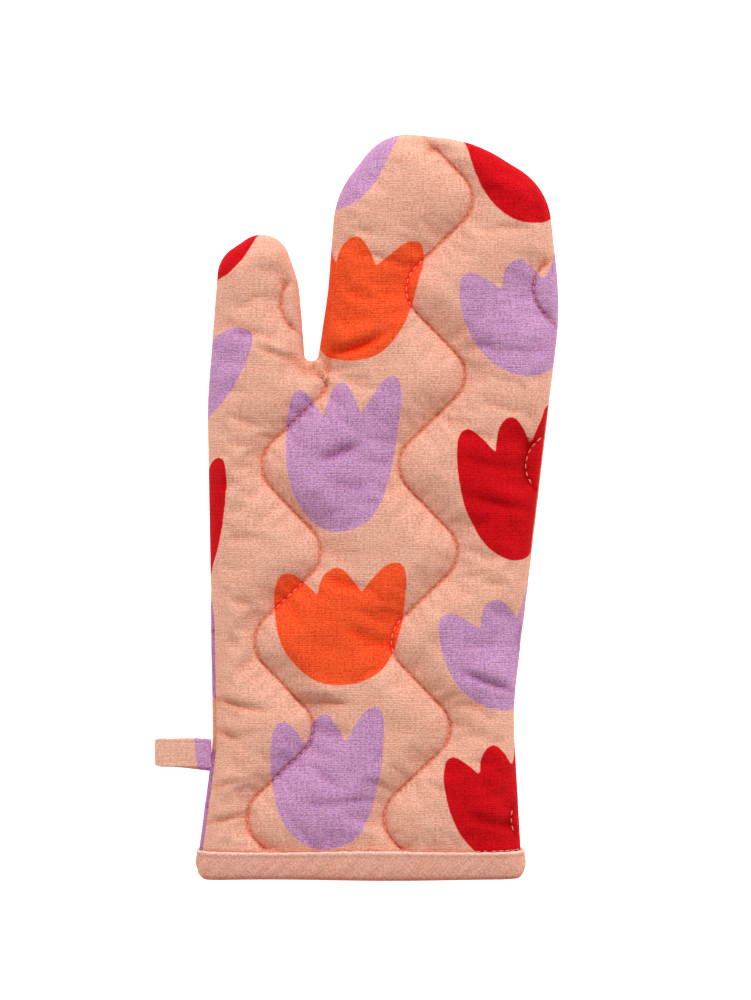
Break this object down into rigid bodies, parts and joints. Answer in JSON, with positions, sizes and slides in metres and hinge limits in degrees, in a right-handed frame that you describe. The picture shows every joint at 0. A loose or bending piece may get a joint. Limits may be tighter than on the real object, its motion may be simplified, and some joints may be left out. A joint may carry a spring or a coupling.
{
  "type": "oven mitt",
  "caption": "Quilted fabric oven mitt with thumb, tulip-print outer, wavy quilting rows, bound cuff and a small side hanging loop.",
  "frame": {"origin": "centre of the bounding box on the surface that the mitt lies on", "axes": "+Y from the cuff to the finger tips, +Z out of the front panel, thumb and hanging loop towards -X"},
  "size_m": [0.1792, 0.33, 0.026],
  "materials": {
    "printed_fabric": "plain-weave cotton and linen, peach with lilac, red and orange tulip motifs",
    "wadding": "needled cotton wadding",
    "lining": "plain cotton lining",
    "binding_fabric": "plain peach woven strip",
    "loop_tape": "plain peach woven strip, folded",
    "quilting_thread": "peach-pink sewing thread",
    "sewing_thread": "peach sewing thread"
  },
  "bodies": {
    "palm": {"outer_front_palm": "printed_fabric", "outer_back_palm": "printed_fabric", "wadding_front_palm": "wadding", "wadding_back_palm": "wadding", "lining_front_palm": "lining", "lining_back_palm": "lining", "quilting_front_palm": "quilting_thread", "quilting_back_palm": "quilting_thread", "side_seam_palm": "sewing_thread", "binding_stitching": "sewing_thread", "cuff_binding": "binding_fabric"},
    "fingers": {"outer_front_fingers": "printed_fabric", "outer_back_fingers": "printed_fabric", "wadding_front_fingers": "wadding", "wadding_back_fingers": "wadding", "lining_front_fingers": "lining", "lining_back_fingers": "lining", "quilting_front_fingers": "quilting_thread", "quilting_back_fingers": "quilting_thread", "side_seam_fingers": "sewing_thread"},
    "thumb": {"outer_front_thumb": "printed_fabric", "outer_back_thumb": "printed_fabric", "wadding_front_thumb": "wadding", "wadding_back_thumb": "wadding", "lining_front_thumb": "lining", "lining_back_thumb": "lining", "quilting_front_thumb": "quilting_thread", "quilting_back_thumb": "quilting_thread", "side_seam_thumb": "sewing_thread"},
    "loop": {"hanging_loop": "loop_tape"}
  },
  "joints": [
    {"name": "finger_fold", "type": "hinge", "parent": "palm", "child": "fingers", "pos_m": [0.0365, 0.092, 0.026], "axis": [1, 0, 0], "range_deg": [0, 60], "stiffness_Nm_per_rad": 0.05},
    {"name": "thumb_fold", "type": "hinge", "parent": "palm", "child": "thumb", "pos_m": [-0.0202, 0.0646, 0.026], "axis": [0.8039, 0.5948, 0], "range_deg": [0, 50], "stiffness_Nm_per_rad": 0.02},
    {"name": "loop_swing", "type": "hinge", "parent": "palm", "child": "loop", "pos_m": [-0.0666, -0.1099, 0.013], "axis": [0, 1, 0], "range_deg": [-60, 60], "stiffness_Nm_per_rad": 0.002}
  ]
}
